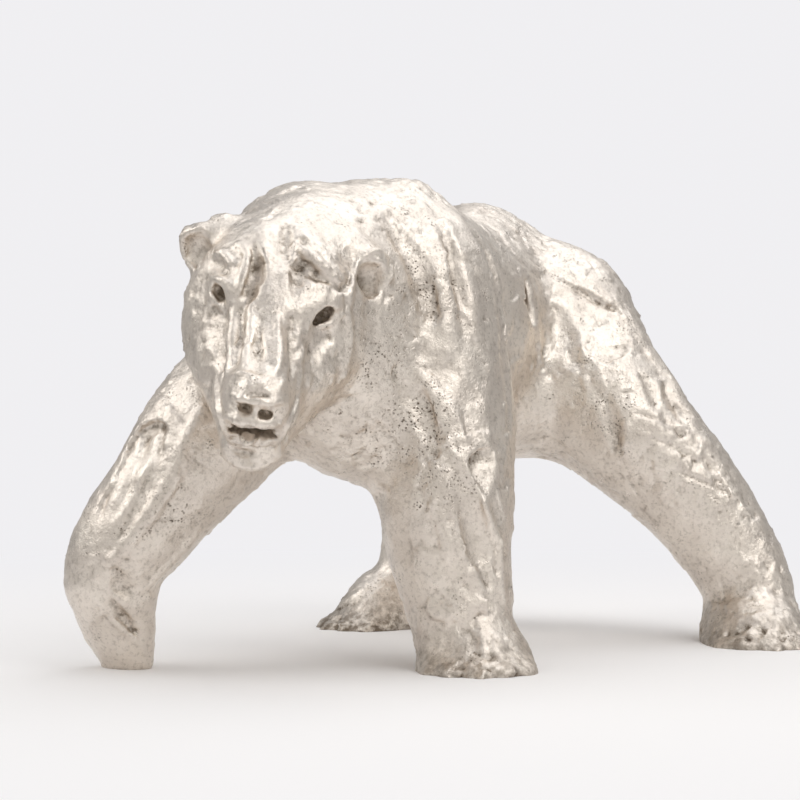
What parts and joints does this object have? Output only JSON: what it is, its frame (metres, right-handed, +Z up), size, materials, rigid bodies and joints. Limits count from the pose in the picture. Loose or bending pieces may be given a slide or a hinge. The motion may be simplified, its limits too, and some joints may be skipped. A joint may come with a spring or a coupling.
{
  "type": "polar bear sculpture",
  "caption": "Cast silvery sculpture of a polar bear in mid stride, its head turned to the left, its right forepaw hanging from a bent wrist, standing on flat soles without a plinth.",
  "frame": {"origin": "middle of the box around the figure, on the plane the soles stand on", "axes": "+X the way the trunk faces, +Y to the bear's left, +Z up"},
  "size_m": [0.4131, 0.3088, 0.2591],
  "materials": {
    "silver": "satin silvery casting with burnished high spots, fine pits, tool marks and a brown-grey patina in the hollows"
  },
  "bodies": {
    "root": {"bear": "silver"}
  },
  "joints": []
}
